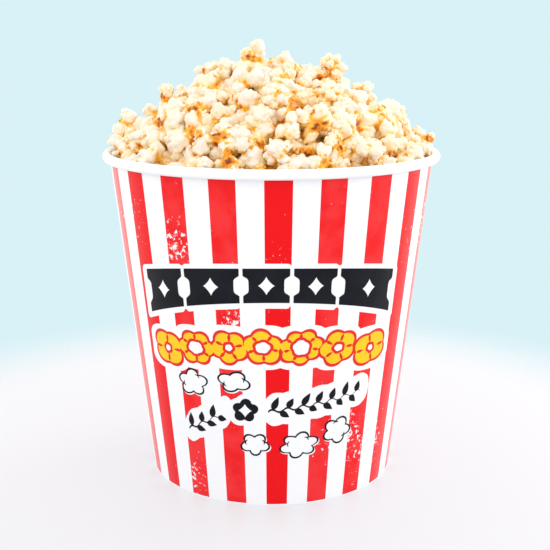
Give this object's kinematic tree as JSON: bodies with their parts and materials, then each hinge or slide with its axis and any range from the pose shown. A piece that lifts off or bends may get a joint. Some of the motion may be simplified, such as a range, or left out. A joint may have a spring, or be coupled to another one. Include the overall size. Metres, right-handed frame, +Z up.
{
  "type": "bucket of popcorn",
  "caption": "Tapered round paperboard tub with a rolled rim, striped red and white, heaped with popped corn.",
  "frame": {"origin": "centre of the foot, on the surface that the tub stands on", "axes": "+Z up along the tub's own axis; -Y is the printed front; +X is to the right as one faces the front"},
  "size_m": [0.1784, 0.1784, 0.2327],
  "materials": {
    "printed_board": "glossy coated paperboard, printed in red and white stripes of equal width, rim left white",
    "plain_board": "satin uncoated white paperboard",
    "popcorn": "popped corn, creamy white with golden creases and a few brown hulls, matt with a little butter sheen"
  },
  "bodies": {
    "root": {"bucket_wall": "printed_board", "bucket_base": "plain_board", "popcorn_heap": "popcorn"}
  },
  "joints": []
}
